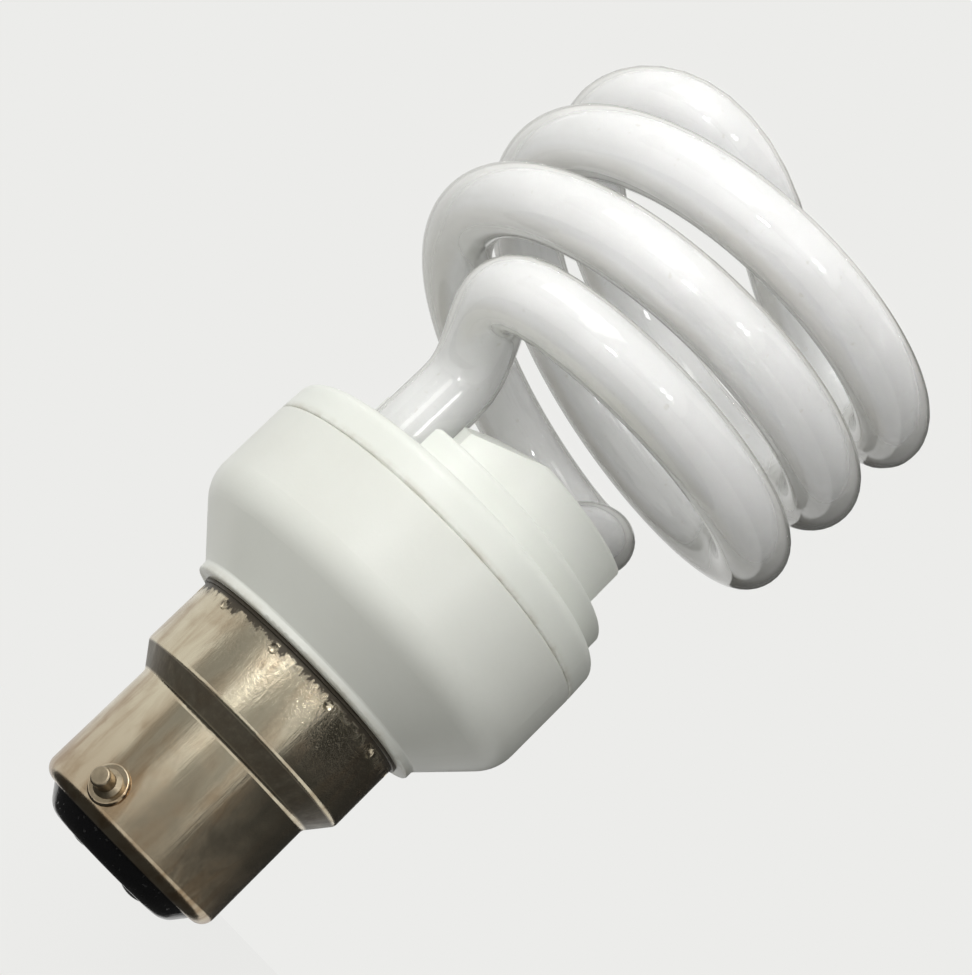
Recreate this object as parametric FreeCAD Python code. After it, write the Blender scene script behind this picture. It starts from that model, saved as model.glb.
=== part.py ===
import FreeCAD, Part
import math
import os

os.makedirs("parts", exist_ok=True)

V = FreeCAD.Vector
UP = V(0, 0, 1)
ORIGIN = V(0, 0, 0)

# Spiral energy saving lamp on a 22 mm bayonet cap. All lengths are in millimetres.
# The axis of the lamp is Z, and z = 0 lies on the line through the two bayonet pins,
# which point along +Y and -Y. The cap is below and the glass spiral is above.

# Bayonet cap shell, drawn from thin plated brass
shell_radius = 11.0
shell_wall = 0.35
rim_below_pins = 3.4
rim_turn_radius = 1.5
rim_turn_in = 1.7
step_above_pins = 10.0
step_height = 2.5
collar_step = 2.0
cap_length = 24.0
cap_top = cap_length - rim_below_pins
step_round = 0.8
step_inner_round = 0.5
collar_edge_out = 0.3
collar_edge_height = 0.4
collar_edge_round = 0.13

# Small punched dents that stake the collar to the plastic neck
stake_count = 11
stake_angle = -78.3
stake_ball_radius = 0.8
stake_depth = 0.2
stake_below_edge = 1.0

# Bayonet pins and the pressed ring round each of them
pin_radius = 1.0
pin_height = 2.5
pin_reach = shell_radius + pin_height
pin_end_round = 0.25
pin_head_radius = 1.6
pin_head_thickness = 0.5
pin_head_gap = 0.12
pin_hole_gap = 0.02
pin_shank_radius = 0.8
pin_flange_radius = 1.43
pin_flange_edge = 0.12
pin_flange_height = 0.45
pin_ring_radius = 2.1
pin_ring_height = 0.3
pin_ring_round = 0.26

# Black glass insulator in the end of the cap, with its two contacts
insulator_drop = 2.1
insulator_face_radius = 7.6
insulator_edge_round = 2.4
insulator_mouth_round = 0.3
insulator_top = 1.6
insulator_gap = 0.03
head_room = 0.2
contact_spacing = 7.8
contact_radius = 2.1
contact_thickness = 0.5
contact_hole_radius = 0.8
solder_radius = 1.5
solder_height = 0.35

# Lower housing: neck inside the cap, lip, flare, and upright wall up to the seam
housing_wall = 1.5
neck_gap = 0.1
neck_depth = 7.4
neck_wall = 1.3
neck_end_round = 0.3
lip_out = 1.6
lip_height = 1.0
lip_round = 0.3
throat_round = 1.0
bowl_radius = 20.5
bowl_draft = 0.1
flare_rise = 6.1
flare_round = 5.0
seam_z = 37.6
seam_radius = bowl_radius + bowl_draft
seam_round = 0.25

# Upper housing: skirt with a tongue inside the bowl, and a stepped top
skirt_height = 4.0
skirt_lean = 0.15
skirt_top_radius = seam_radius - skirt_lean
skirt_round = 1.4
cover_wall = 1.4
cover_corner = 0.3
tongue_gap = 0.2
tongue_wall = 1.2
tongue_depth = 2.6
tongue_ledge = 1.3
tongue_round = 0.2
low_tier_step = 2.1
low_tier_radius = seam_radius - low_tier_step
low_tier_height = 2.8
low_tier_round = 0.6
high_tier_step = 1.4
high_tier_radius = low_tier_radius - high_tier_step
high_tier_height = 7.6
high_tier_round = 0.5
tier_edge = 0.5

# Bay that the stepped top leaves round each leg of the tube. Its walls are set from the leg's
# radius: the back wall crosses it, and each tier's two side walls turn away from it by an angle.
bay_depth = 5.0
bay_side = 5.4
bay_corner = 2.5
bay_mouth_round = 0.8
low_near_turn = 33.0
low_far_turn = 62.0
high_near_turn = 64.5
high_far_turn = 99.0
ramp_inset = 3.6
ramp_angle = 29.0

# Snap hooks and hold-down tabs on the tongue, and board ribs in the bowl
snap_count = 4
snap_width = 5.0
snap_reach = 0.45
snap_height = 1.0
snap_above_tongue = 0.5
snap_gap = 0.15
tab_width = 4.0
tab_gap = 0.1
rib_thickness = 1.2
rib_reach = 2.3
first_rib_angle = 45.0

# Glass tube: two straight legs, elbows, a double helix, and a crossing at the top
tube_radius = 3.8
leg_angle = 247.0
leg_inset = 8.1
leg_bottom = 36.4
leg_top = 49.6
leg_end_round = 1.6
leg_end_flat = 0.2
coil_radius = 22.7
coil_pitch = 19.8
coil_start_angle = 285.7
coil_start_z = 58.7
coil_sweep = 450.0
coil_lean = 4.6
coil_lean_angle = 27.3
coil_lean_pivot = 54.6
elbow_rise = 8.0
elbow_run = 15.0
crossing_angle = 76.5
crossing_z = 89.0
crossing_lead_in = 8.7
crossing_run = 24.2

# Cement rings that hold the legs in their sleeves under the cover
leg_hole_gap = 0.3
sleeve_radius = 5.2
sleeve_wall = 1.0
sleeve_length = 3.4
cement_gap = 0.05

# Circuit board, its parts' leads and the pins that the tube's wires are wound on
board_bottom = 31.0
board_thickness = 1.6
board_gap = 0.5
lead_radius = 0.3
lead_hole_gap = 0.15
lead_tail = 0.6
wrap_pin_radius = 0.45
wrap_pin_height = 3.0
wrap_collar_radius = 0.8
wrap_collar_height = 0.5
wrap_pin_out = 3.2
wrap_pin_spread = 26.0
wrap_coil_wall = 0.35
wrap_coil_height = 1.4
wrap_coil_gap = 0.03
tube_wire_radius = 0.25
tube_wire_spacing = 2.6
wire_bend_share = 0.45

# Main choke: two E cores on a bobbin, lying along X under the board
choke_x = -5.0
choke_y = 0.0
core_length = 12.0
core_width = 13.0
core_depth = 6.0
core_back = 2.6
core_side_leg = 2.0
core_middle_leg = 3.2
bobbin_gap = 0.05
bobbin_wall = 0.5
bobbin_flange = 0.7
bobbin_overhang = 1.5
bobbin_top_stand = 1.6
winding_gap = 0.05
winding_inset = 0.3

# Bulk capacitor, standing down into the neck
bulk_x = 6.2
bulk_y = -1.0
bulk_radius = 4.0
bulk_length = 14.5
bulk_stand = 0.6
bulk_lead_spacing = 3.5
bulk_groove = 0.3
bulk_groove_height = 1.2
bulk_groove_above_seal = 1.6
bulk_end_round = 0.6

# Ring core of the drive transformer with its three windings
ring_x = 2.2
ring_y = 11.2
ring_outer_radius = 4.0
ring_inner_radius = 2.2
ring_height = 3.6
ring_wire = 0.45
ring_winding_count = 3
ring_winding_sweep = 50.0
ring_gap = 0.02

# Switching transistors: (x, y, turn) of each moulded body
transistor_places = [(9.3, 8.5, 45.0), (-6.7, 10.9, 120.0)]
transistor_radius = 2.3
transistor_flat = 1.3
transistor_height = 4.6
transistor_stand = 1.4
transistor_lead_spacing = 1.27

# Film capacitors: (x, y, width, thickness, height, lead spacing)
resonant_box = (0.45, -11.1, 7.8, 3.5, 6.5, 5.0)
coupling_box = (-7.3, -9.1, 7.0, 3.4, 6.0, 5.0)
film_round = 0.8

# Rectifier diodes: angle of each round the rim of the board
diode_angles = [-20.0, 13.0, 165.0, 198.0]
diode_circle_radius = 14.4
diode_radius = 1.3
diode_length = 4.6
diode_span = 7.4

# Axial parts on the upper face of the board, in a row along X
resistor_row = [-5.0, -0.2, 2.8]
resistor_radius = 1.0
resistor_length = 6.0
resistor_span = 9.6
diac_x = 10.5
diac_radius = 0.9
diac_length = 3.6
diac_span = 6.4
axial_stand = 0.2
axial_lead_bend = 0.6

# Input filter choke in its sleeve
filter_x = 7.0
filter_y = -9.3
filter_radius = 2.4
filter_length = 7.0
filter_lead_spacing = 2.5
filter_round = 0.5

# Supply wires from the contacts, one of them with a fusible resistor in a sleeve
supply_wire_radius = 0.5
supply_rise = 6.0
live_board_x = 6.8
live_board_y = 5.5
live_turn_z = 17.0
neutral_board_x = -2.0
neutral_board_y = -7.85
neutral_turn_z = 20.2
fusible_radius = 1.7
fusible_length = 8.0
fusible_bottom = 7.0
fusible_round = 0.5
fusible_wire_rise = 1.5

# How far a lead, hook or wire starts inside the piece that it grows from
root_in = 0.5

# Sizes that follow from the ones above
collar_radius = shell_radius + collar_step
pin_shoulder = shell_radius + pin_ring_height + pin_hole_gap
lip_radius = collar_radius + lip_out
leg_circle_radius = bowl_radius - leg_inset
bay_back = leg_circle_radius - bay_depth
ramp_start = leg_circle_radius - ramp_inset
wrap_pin_circle_radius = leg_circle_radius + wrap_pin_out
rim_z = -rim_below_pins
insulator_bottom = rim_z - insulator_drop
neck_radius = collar_radius - shell_wall - neck_gap
neck_inner = neck_radius - neck_wall
neck_bottom = cap_top - neck_depth
bowl_inner = seam_radius - housing_wall
flare_foot_z = cap_top + lip_height
flare_top_z = flare_foot_z + flare_rise
flare_tilt = math.atan((bowl_radius - lip_radius) / flare_rise)
flare_inner_z = flare_top_z + housing_wall * math.tan(flare_tilt / 2)
throat_top = cap_top + housing_wall
throat_radius = bowl_inner - (flare_inner_z - throat_top) * math.tan(flare_tilt)
skirt_top = seam_z + skirt_height
tongue_outer = bowl_inner - tongue_gap
tongue_inner = tongue_outer - tongue_wall
tongue_bottom = seam_z - tongue_depth
board_top = board_bottom + board_thickness
board_radius = bowl_inner - board_gap
low_tier_top = skirt_top + low_tier_height
high_tier_top = skirt_top + high_tier_height
cover_ceiling = skirt_top - cover_wall
leg_hole_radius = tube_radius + leg_hole_gap
sleeve_bottom = cover_ceiling - sleeve_length


def polar(radius, angle, z=0.0):
    """Point at a radius and an angle in degrees round the lamp's axis."""
    turn = math.radians(angle)
    return V(radius * math.cos(turn), radius * math.sin(turn), z)


def rounded_outline(corners, place):
    """Closed wire through (a, b, corner radius) entries, set in space by place(a, b)."""
    points = [place(a, b) for a, b, radius in corners]
    starts = []
    middles = []
    ends = []
    for i, here in enumerate(points):
        radius = corners[i][2]
        back = (points[i - 1] - here).normalize()
        ahead = (points[(i + 1) % len(points)] - here).normalize()
        half = back.getAngle(ahead) / 2
        reach = radius / math.tan(half)
        middle = (back + ahead)
        if radius > 0:
            middle.normalize()
        starts.append(here + back * reach)
        middles.append(here + middle * (radius / math.sin(half) - radius))
        ends.append(here + ahead * reach)
    edges = []
    for i in range(len(points)):
        if corners[i][2] > 0:
            edges.append(Part.Arc(starts[i], middles[i], ends[i]).toShape())
        following = starts[(i + 1) % len(points)]
        if ends[i].distanceToPoint(following) > 1e-6:
            edges.append(Part.LineSegment(ends[i], following).toShape())
    return Part.Wire(edges)


def section(a, b):
    """Place a profile in the XZ plane."""
    return V(a, 0, b)


def plan(a, b):
    """Place an outline in the XY plane."""
    return V(a, b, 0)


def turned(corners):
    """Solid of revolution about Z from (radius, z, corner radius) entries."""
    return Part.Face(rounded_outline(corners, section)).revolve(ORIGIN, UP, 360)


def disc(radius, bottom, top, edge_round=0.0):
    """Cylinder on the axis with its upper edge rounded."""
    return turned([(0, bottom, 0), (radius, bottom, 0), (radius, top, edge_round), (0, top, 0)])


def ring_sector(inner, outer, bottom, top, angle, width):
    """Piece of a ring, as wide as given along its outer edge, centred on an angle."""
    sweep = math.degrees(width / outer)
    face = Part.Face(rounded_outline([(inner, bottom, 0), (outer, bottom, 0), (outer, top, 0),
                                      (inner, top, 0)], section))
    piece = face.revolve(ORIGIN, UP, sweep)
    piece.rotate(ORIGIN, UP, angle - sweep / 2)
    return piece


def upright(radius, x, y, bottom, top):
    """Vertical cylinder between two heights."""
    return Part.makeCylinder(radius, top - bottom, V(x, y, bottom))


def rounded_box(width, depth, height, radius, centre):
    """Box with rounded upright edges, its base centred on a point."""
    half_w = width / 2
    half_d = depth / 2
    outline = rounded_outline([(-half_w, -half_d, radius), (half_w, -half_d, radius),
                               (half_w, half_d, radius), (-half_w, half_d, radius)], plan)
    box = Part.Face(outline).extrude(V(0, 0, height))
    box.translate(centre)
    return box


def twice(shape):
    """The shape and its copy half a turn round the axis."""
    copy = shape.copy()
    copy.rotate(ORIGIN, UP, 180)
    return [shape, copy]


def fused(shapes):
    """One solid from overlapping or touching solids."""
    whole = shapes[0].fuse(shapes[1:]) if len(shapes) > 1 else shapes[0]
    return whole.removeSplitter()


def bent_path(points):
    """Wire of straight runs joined by tangent arcs that are as large as the runs allow."""
    edges = []
    last = points[0]
    for i in range(1, len(points) - 1):
        back = points[i - 1] - points[i]
        ahead = points[i + 1] - points[i]
        reach = wire_bend_share * min(back.Length, ahead.Length)
        back.normalize()
        ahead.normalize()
        half = back.getAngle(ahead) / 2
        radius = reach * math.tan(half)
        middle = (back + ahead).normalize()
        start = points[i] + back * reach
        end = points[i] + ahead * reach
        top = points[i] + middle * (radius / math.sin(half) - radius)
        edges.append(Part.LineSegment(last, start).toShape())
        edges.append(Part.Arc(start, top, end).toShape())
        last = end
    edges.append(Part.LineSegment(last, points[-1]).toShape())
    return Part.Wire(edges)


def round_sweep(points, radius):
    """Round bar of one radius along a bent path."""
    path = bent_path(points)
    ahead = points[1] - points[0]
    profile = Part.Wire(Part.makeCircle(radius, points[0], ahead))
    return path.makePipeShell([profile], True, False)


def export(name, shapes):
    """Write one node as a STEP file."""
    solids = [solid for shape in shapes for solid in shape.Solids]
    whole = solids[0] if len(solids) == 1 else Part.makeCompound(solids)
    whole.exportStep("parts/" + name + ".step")
    print(name, len(solids), round(whole.Volume, 2), all(solid.isValid() for solid in solids))


def make_cap_shell():
    """Stepped brass shell with its edge turned in, and a pressed ring round each pin."""
    step_top = step_above_pins + step_height
    turn_radius = shell_radius - rim_turn_in
    step_shift = shell_wall * math.tan(math.atan((collar_radius - shell_radius) / step_height) / 2)
    edge_radius = collar_radius + collar_edge_out
    outer = [(turn_radius, rim_z, 0), (shell_radius, rim_z, rim_turn_radius),
             (shell_radius, step_above_pins, step_round), (collar_radius, step_top, step_round),
             (collar_radius, cap_top - collar_edge_height, 0),
             (edge_radius, cap_top - collar_edge_height, collar_edge_round),
             (edge_radius, cap_top, collar_edge_round)]
    inner = [(collar_radius - shell_wall, cap_top, 0),
             (collar_radius - shell_wall, step_top + step_shift, step_inner_round),
             (shell_radius - shell_wall, step_above_pins + step_shift, step_inner_round),
             (shell_radius - shell_wall, rim_z + shell_wall, rim_turn_radius - shell_wall),
             (turn_radius, rim_z + shell_wall, 0)]
    shell = turned(outer + inner)
    pieces = [shell]
    for side in (1, -1):
        ring = turned([(0, shell_radius - shell_wall, 0), (pin_ring_radius, shell_radius - shell_wall, 0),
                       (pin_ring_radius, shell_radius + pin_ring_height, pin_ring_round),
                       (0, shell_radius + pin_ring_height, 0)])
        ring.rotate(ORIGIN, V(1, 0, 0), -90 * side)
        hollow = upright(shell_radius - shell_wall / 2, 0, 0, rim_z, step_above_pins)
        pieces.append(ring.cut(hollow))
    shell = fused(pieces)
    hole = Part.makeCylinder(pin_shank_radius + pin_hole_gap, 4 * shell_radius,
                             V(0, -2 * shell_radius, 0), V(0, 1, 0))
    return shell.cut([hole] + stake_dents())


def stake_dents():
    """Balls that dent the collar all round, just under its edge."""
    reach = collar_radius - stake_depth + stake_ball_radius
    return [Part.makeSphere(stake_ball_radius, polar(reach, stake_angle + i * 360 / stake_count,
                                                     cap_top - collar_edge_height - stake_below_edge))
            for i in range(stake_count)]


def make_bayonet_pin():
    """Pin along +Y: flat head and thin shank inside, and a flange on the shell's ring outside."""
    head_seat = shell_radius - shell_wall - pin_head_gap
    pin = Part.Face(rounded_outline([
        (0, head_seat - pin_head_thickness, 0),
        (pin_head_radius, head_seat - pin_head_thickness, 0),
        (pin_head_radius, head_seat, 0),
        (pin_shank_radius, head_seat, 0),
        (pin_shank_radius, pin_shoulder, 0),
        (pin_flange_radius, pin_shoulder, 0),
        (pin_flange_radius, pin_shoulder + pin_flange_edge, 0),
        (pin_radius, pin_shoulder + pin_flange_height, 0),
        (pin_radius, pin_reach, pin_end_round),
        (0, pin_reach, 0)], section)).revolve(ORIGIN, UP, 360)
    pin.rotate(ORIGIN, V(1, 0, 0), -90)
    return pin


def make_cap_insulator():
    """Glass plug that fills the end of the shell, with a hole for each supply wire."""
    inside = shell_radius - shell_wall - insulator_gap
    mouth = shell_radius - rim_turn_in - insulator_gap
    inner_rim_z = rim_z + shell_wall + insulator_gap
    body = turned([(0, insulator_bottom, 0),
                   (insulator_face_radius, insulator_bottom, insulator_edge_round),
                   (mouth, rim_z, insulator_mouth_round),
                   (mouth, inner_rim_z, 0),
                   (inside, inner_rim_z, rim_turn_radius - shell_wall),
                   (inside, insulator_top, 0),
                   (0, insulator_top, 0)])
    for side in (1, -1):
        body = body.cut(Part.makeCylinder(pin_head_radius + head_room, pin_head_thickness + 3 * head_room,
                                          V(0, side * inside, 0), V(0, -side, 0)))
    seat_bottom = insulator_bottom - 1.0
    for side in (1, -1):
        x = side * contact_spacing / 2
        seat = upright(contact_radius + insulator_gap, x, 0, seat_bottom,
                       insulator_bottom + contact_thickness)
        bore = upright(supply_wire_radius + insulator_gap, x, 0, insulator_bottom, insulator_top + 1)
        body = body.cut(seat).cut(bore)
    return body


def make_contact_plate(side):
    """Brass eyelet let flush into the insulator."""
    x = side * contact_spacing / 2
    plate = upright(contact_radius, x, 0, insulator_bottom, insulator_bottom + contact_thickness)
    return plate.cut(upright(contact_hole_radius, x, 0, insulator_bottom - 1, insulator_bottom + 1))


def make_contact_solder(side):
    """Low dome of solder on a contact, with a stem in the eyelet's hole round the wire's end."""
    x = side * contact_spacing / 2
    ball_radius = (solder_radius ** 2 + solder_height ** 2) / (2 * solder_height)
    ball = Part.makeSphere(ball_radius, V(x, 0, insulator_bottom - solder_height + ball_radius))
    half_space = upright(solder_radius * 2, x, 0, insulator_bottom - 2 * solder_height, insulator_bottom)
    stem = upright(contact_hole_radius - insulator_gap, x, 0, insulator_bottom,
                   insulator_bottom + contact_thickness)
    return fused([ball.common(half_space), stem])


def make_lower_housing():
    """Moulded bowl: neck, lip, flare and wall, with board ribs and snap pockets inside."""
    outer = [(neck_radius, neck_bottom, neck_end_round), (neck_radius, cap_top, 0),
             (lip_radius, cap_top, lip_round), (lip_radius, flare_foot_z, lip_round),
             (bowl_radius, flare_top_z, flare_round), (seam_radius, seam_z, seam_round)]
    inner = [(bowl_inner, seam_z, 0), (bowl_inner, flare_inner_z, flare_round - housing_wall),
             (throat_radius, throat_top, throat_round / 2), (neck_inner, throat_top, throat_round),
             (neck_inner, neck_bottom, 0)]
    bowl = turned(outer + inner)
    mid_wall = (bowl_radius + bowl_inner) / 2
    room = turned([(0, throat_top, 0), (throat_radius, throat_top - housing_wall / 2, 0),
                   (mid_wall, (flare_top_z + flare_inner_z) / 2, 0), (mid_wall, seam_z, 0), (0, seam_z, 0)])
    ribs = []
    for i in range(snap_count):
        rib = Part.makeBox(rib_reach + housing_wall, rib_thickness, board_bottom - throat_top,
                           V(bowl_inner - rib_reach, -rib_thickness / 2, throat_top))
        rib.rotate(ORIGIN, UP, first_rib_angle + i * 360 / snap_count)
        ribs.append(rib.common(room))
    bowl = fused([bowl] + ribs)
    hook_bottom = tongue_bottom + snap_above_tongue
    for i in range(snap_count):
        pocket = ring_sector(bowl_inner - 1, tongue_outer + snap_reach + snap_gap,
                             hook_bottom - snap_gap, hook_bottom + snap_height + snap_gap,
                             i * 360 / snap_count, snap_width + 2 * snap_gap)
        bowl = bowl.cut(pocket)
    return bowl


def grown(corners, amount):
    """Corners of an anticlockwise outline after each side has moved outwards."""
    moved = []
    for i, (a, b, radius) in enumerate(corners):
        before = plan(a, b) - plan(*corners[i - 1][:2])
        after = plan(*corners[(i + 1) % len(corners)][:2]) - plan(a, b)
        before_out = V(before.y, -before.x, 0).normalize()
        after_out = V(after.y, -after.x, 0).normalize()
        shift = (before_out + after_out) * (amount / (1 + before_out.dot(after_out)))
        moved.append((a + shift.x, b + shift.y, radius))
    return moved


def bay_corners(near_turn, far_turn):
    """Outline of the space round a leg, with +X along the leg's radius."""
    far = 2 * seam_radius
    near = polar(far, near_turn) + V(leg_circle_radius, bay_side, 0)
    away = polar(far, -far_turn) + V(bay_back, -bay_side, 0)
    return [(away.x, away.y, 0), (2 * far, away.y, 0), (2 * far, near.y, 0), (near.x, near.y, 0),
            (leg_circle_radius, bay_side, bay_mouth_round), (bay_back, bay_side, bay_corner),
            (bay_back, -bay_side, bay_corner)]


def bays(corners, grow, bottom, top, edge):
    """Both bays as solids to cut away, opened out at their upper edge by a chamfer."""
    def at_height(z):
        return lambda a, b: V(a, b, z)
    wide = rounded_outline(grown(corners, grow), at_height(bottom))
    bay = Part.Face(wide).extrude(V(0, 0, top + 1 - bottom))
    if edge > 0:
        lower = rounded_outline(grown(corners, grow), at_height(top - edge))
        upper = rounded_outline(grown(corners, grow + 2 * edge), at_height(top + edge))
        bay = bay.fuse(Part.makeLoft([lower, upper], True, True))
    bay.rotate(ORIGIN, UP, leg_angle)
    return twice(bay)


def ramp_cuts(drop):
    """Wedges off the high tier beside the legs, or off the hollow under it, lower by drop."""
    top = high_tier_top - drop
    far = 2 * seam_radius
    fall = (far - ramp_start) * math.tan(math.radians(ramp_angle))
    outline = Part.makePolygon([V(ramp_start, -drop, top), V(far, -drop, top - fall), V(far, -drop, top + 1),
                                V(ramp_start, -drop, top + 1), V(ramp_start, -drop, top)])
    wedge = Part.Face(outline).extrude(V(0, far, 0))
    wedge.rotate(ORIGIN, UP, leg_angle)
    return twice(wedge)


def tier(radius, bottom, top, edge_round, turns, grow, edge):
    """Raised step of the cover, less the two bays."""
    step = disc(radius, bottom, top, edge_round)
    for bay in bays(bay_corners(*turns), grow, bottom - 1, top, edge):
        step = step.cut(bay)
    return step


def high_tier(radius, bottom, drop, edge_round, grow, edge):
    """Upper step, less the bays and the ramps beside the legs."""
    step = tier(radius, bottom, high_tier_top - drop, edge_round, (high_near_turn, high_far_turn),
                grow, edge)
    for wedge in ramp_cuts(drop):
        step = step.cut(wedge)
    return step


def sleeve_room(radius):
    """Cylinder round the first leg inside its sleeve, held back from the tongue's wall."""
    leg = polar(leg_circle_radius, leg_angle)
    room = upright(radius, leg.x, leg.y, sleeve_bottom, cover_ceiling)
    return room.common(disc(tongue_inner, sleeve_bottom, cover_ceiling))


def make_upper_housing():
    """Moulded cover: skirt and tongue, two steps round the legs' bays, hollow underneath."""
    skirt = turned([(0, cover_ceiling, 0), (0, skirt_top, 0),
                    (skirt_top_radius, skirt_top, skirt_round), (seam_radius, seam_z, seam_round),
                    (tongue_outer, seam_z, 0), (tongue_outer, tongue_bottom, tongue_round),
                    (tongue_inner, tongue_bottom, tongue_round), (tongue_inner, seam_z + tongue_ledge, 0),
                    (bowl_inner, seam_z + tongue_ledge, 0), (bowl_inner, cover_ceiling, cover_corner)])
    middle = (cover_ceiling + skirt_top) / 2
    low_turns = (low_near_turn, low_far_turn)
    low = tier(low_tier_radius, middle, low_tier_top, low_tier_round, low_turns, 0, tier_edge)
    high = high_tier(high_tier_radius, middle, 0, high_tier_round, 0, tier_edge)
    cover = fused([skirt, low, high])
    low_hollow = tier(low_tier_radius - cover_wall, cover_ceiling - 0.01, low_tier_top - cover_wall,
                      0, low_turns, cover_wall, 0)
    high_hollow = high_tier(high_tier_radius - cover_wall, cover_ceiling - 0.01, cover_wall, 0,
                            cover_wall, 0)
    cover = cover.cut(low_hollow).cut(high_hollow)
    leg = polar(leg_circle_radius, leg_angle)
    sleeve = upright(sleeve_radius + sleeve_wall, leg.x, leg.y, sleeve_bottom, middle)
    bore = sleeve_room(sleeve_radius)
    hole = upright(leg_hole_radius, leg.x, leg.y, sleeve_bottom - 1, skirt_top + 1)
    room = disc(tongue_outer, sleeve_bottom - 1, skirt_top)
    sleeves = [piece.common(room) for piece in twice(sleeve)]
    hooks = []
    for i in range(snap_count):
        angle = i * 360 / snap_count
        hook_bottom = tongue_bottom + snap_above_tongue
        hooks.append(ring_sector(tongue_outer - root_in, tongue_outer + snap_reach, hook_bottom,
                                 hook_bottom + snap_height, angle, snap_width))
        hooks.append(ring_sector(tongue_inner, tongue_outer, board_top + tab_gap,
                                 tongue_bottom + root_in, angle + first_rib_angle, tab_width))
    cover = fused([cover] + sleeves + hooks)
    for opening in twice(bore) + twice(hole):
        cover = cover.cut(opening)
    return cover


def leaned(point):
    """Tip a point of the coil over sideways, about a pivot low in the spiral."""
    axis = polar(1, coil_lean_angle + 90)
    tip = FreeCAD.Rotation(axis, coil_lean)
    pivot = V(0, 0, coil_lean_pivot)
    return tip.multVec(point - pivot) + pivot


def coil_edge(limb):
    """Helix of one limb, tipped over as the whole coil is."""
    coil = Part.makeHelix(coil_pitch, coil_pitch * coil_sweep / 360, coil_radius)
    coil.rotate(ORIGIN, UP, coil_start_angle + 180 * limb)
    coil.translate(V(0, 0, coil_start_z))
    coil.rotate(V(0, 0, coil_lean_pivot), polar(1, coil_lean_angle + 90), coil_lean)
    return coil.Edges[0]


def bend(start, start_pull, end_pull, end):
    """Cubic curve between two ends, each with the point that it heads for."""
    curve = Part.BezierCurve()
    curve.setPoles([start, start_pull, end_pull, end])
    return curve.toShape()


def limb_edges(limb):
    """Path of one limb: leg, elbow, helix, and the crossing as far as its middle."""
    foot = polar(leg_circle_radius, leg_angle + 180 * limb, leg_bottom)
    knee = V(foot.x, foot.y, leg_top)
    coil = coil_edge(limb)
    first = coil.valueAt(coil.FirstParameter)
    setting_out = coil.tangentAt(coil.FirstParameter)
    last = coil.valueAt(coil.LastParameter)
    leaving = coil.tangentAt(coil.LastParameter)
    elbow = bend(knee, knee + V(0, 0, elbow_rise), first - setting_out * elbow_run, first)
    across = leaned(polar(crossing_run, crossing_angle + 180 * limb, crossing_z))
    crossing = bend(last, last + leaving * crossing_lead_in, across, leaned(V(0, 0, crossing_z)))
    return [Part.LineSegment(foot, knee).toShape(), elbow, coil, crossing]


def make_spiral_tube():
    """The whole discharge tube: leg, elbow, helix, crossing, helix, elbow, leg."""
    path = Part.Wire(Part.__sortEdges__(limb_edges(0) + limb_edges(1)))
    foot = polar(leg_circle_radius, leg_angle, leg_bottom)
    tube = path.makePipeShell([Part.Wire(Part.makeCircle(tube_radius, foot, UP))], True, False)
    end = turned([(0, leg_bottom - leg_end_round, 0),
                  (tube_radius, leg_bottom - leg_end_round, leg_end_round - leg_end_flat),
                  (tube_radius, leg_bottom, 0), (0, leg_bottom, 0)])
    end.translate(V(foot.x, foot.y, 0))
    return fused([tube] + twice(end))


def make_tube_cement():
    """Ring of cement between a leg and its sleeve."""
    leg = polar(leg_circle_radius, leg_angle)
    ring = sleeve_room(sleeve_radius - cement_gap)
    return ring.cut(upright(tube_radius + cement_gap, leg.x, leg.y, sleeve_bottom - 1, skirt_top))


def tube_wire_ends():
    """Where each lead-in wire leaves a tube end, and the wrap pin that it goes to."""
    ends = []
    for limb in (0, 1):
        foot = polar(leg_circle_radius, leg_angle + 180 * limb)
        tangent = polar(1, leg_angle + 180 * limb + 90)
        for side in (1, -1):
            start = foot + tangent * (side * tube_wire_spacing / 2)
            pin = polar(wrap_pin_circle_radius, leg_angle + 180 * limb + side * wrap_pin_spread)
            ends.append((start, pin))
    return ends


def make_tube_lead_wire(start, pin):
    """Thin wire from the tube's seal to a wrap pin, ending in a short winding on the pin."""
    top = leg_bottom - leg_end_round
    level = board_top + wrap_collar_height + wrap_coil_height / 2
    toward = (pin - start)
    reach = toward.Length - wrap_pin_radius - wrap_coil_gap - wrap_coil_wall / 2
    toward.normalize()
    points = [start + V(0, 0, top), start + V(0, 0, level), start + toward * reach + V(0, 0, level)]
    wire = round_sweep(points, tube_wire_radius)
    inner = wrap_pin_radius + wrap_coil_gap
    winding = upright(inner + wrap_coil_wall, pin.x, pin.y, level - wrap_coil_height / 2,
                      level + wrap_coil_height / 2)
    bore = upright(inner, pin.x, pin.y, level - wrap_coil_height, level + wrap_coil_height)
    return fused([wire, winding]).cut(bore)


def make_wrap_pin(pin):
    """Post through the board for a lead-in wire, with a collar that sits on the board."""
    post = upright(wrap_pin_radius, pin.x, pin.y, board_bottom - lead_tail, board_top + wrap_pin_height)
    return fused([post, upright(wrap_collar_radius, pin.x, pin.y, board_top,
                                board_top + wrap_collar_height)])


def lead(x, y, body_z):
    """Straight lead from a body below or above the board to just past its far face."""
    if body_z < board_bottom:
        return upright(lead_radius, x, y, body_z, board_top + lead_tail)
    return upright(lead_radius, x, y, board_bottom - lead_tail, body_z)


def choke_leads():
    """The four bobbin pins of the choke, as (x, y) on the board."""
    x_reach = core_length / 2 - core_back - bobbin_flange / 2
    y_reach = core_middle_leg / 2 + bobbin_wall + 1.0
    return [(choke_x + a * x_reach, choke_y + b * y_reach) for a in (1, -1) for b in (1, -1)]


def choke_levels():
    """Heights of the core's underside and top under the board."""
    top = board_bottom - bobbin_top_stand
    return top - core_depth, top


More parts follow.
